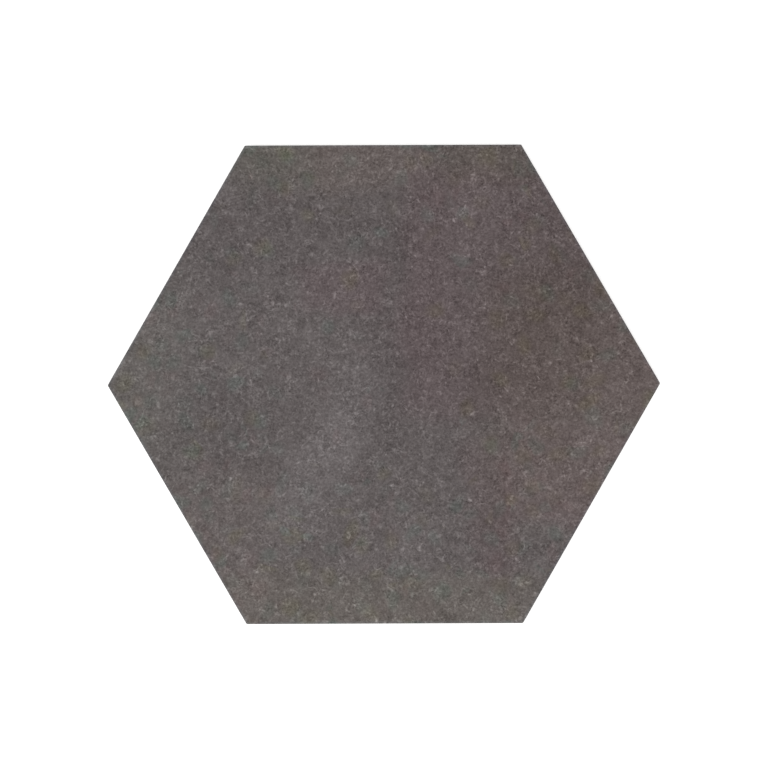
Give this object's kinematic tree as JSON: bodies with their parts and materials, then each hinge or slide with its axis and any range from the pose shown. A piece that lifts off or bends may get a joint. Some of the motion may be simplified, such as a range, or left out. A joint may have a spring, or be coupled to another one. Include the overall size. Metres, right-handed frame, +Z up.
{
  "type": "hexagon floor tile",
  "caption": "Flat hexagonal floor tile with a matt stone-look face, eased edges and a honeycomb-keyed underside for adhesive.",
  "frame": {"origin": "middle of the underside, in the plane of the rib tops that the tile rests on", "axes": "+Z up out of the wear face; +X towards one corner, so corners lie on +X and -X and a straight side faces +Y and another -Y"},
  "size_m": [0.2498, 0.2166, 0.009],
  "materials": {
    "glazed_porcelain": "matte"
  },
  "bodies": {
    "root": {"hexagon_tile": "glazed_porcelain"}
  },
  "joints": []
}
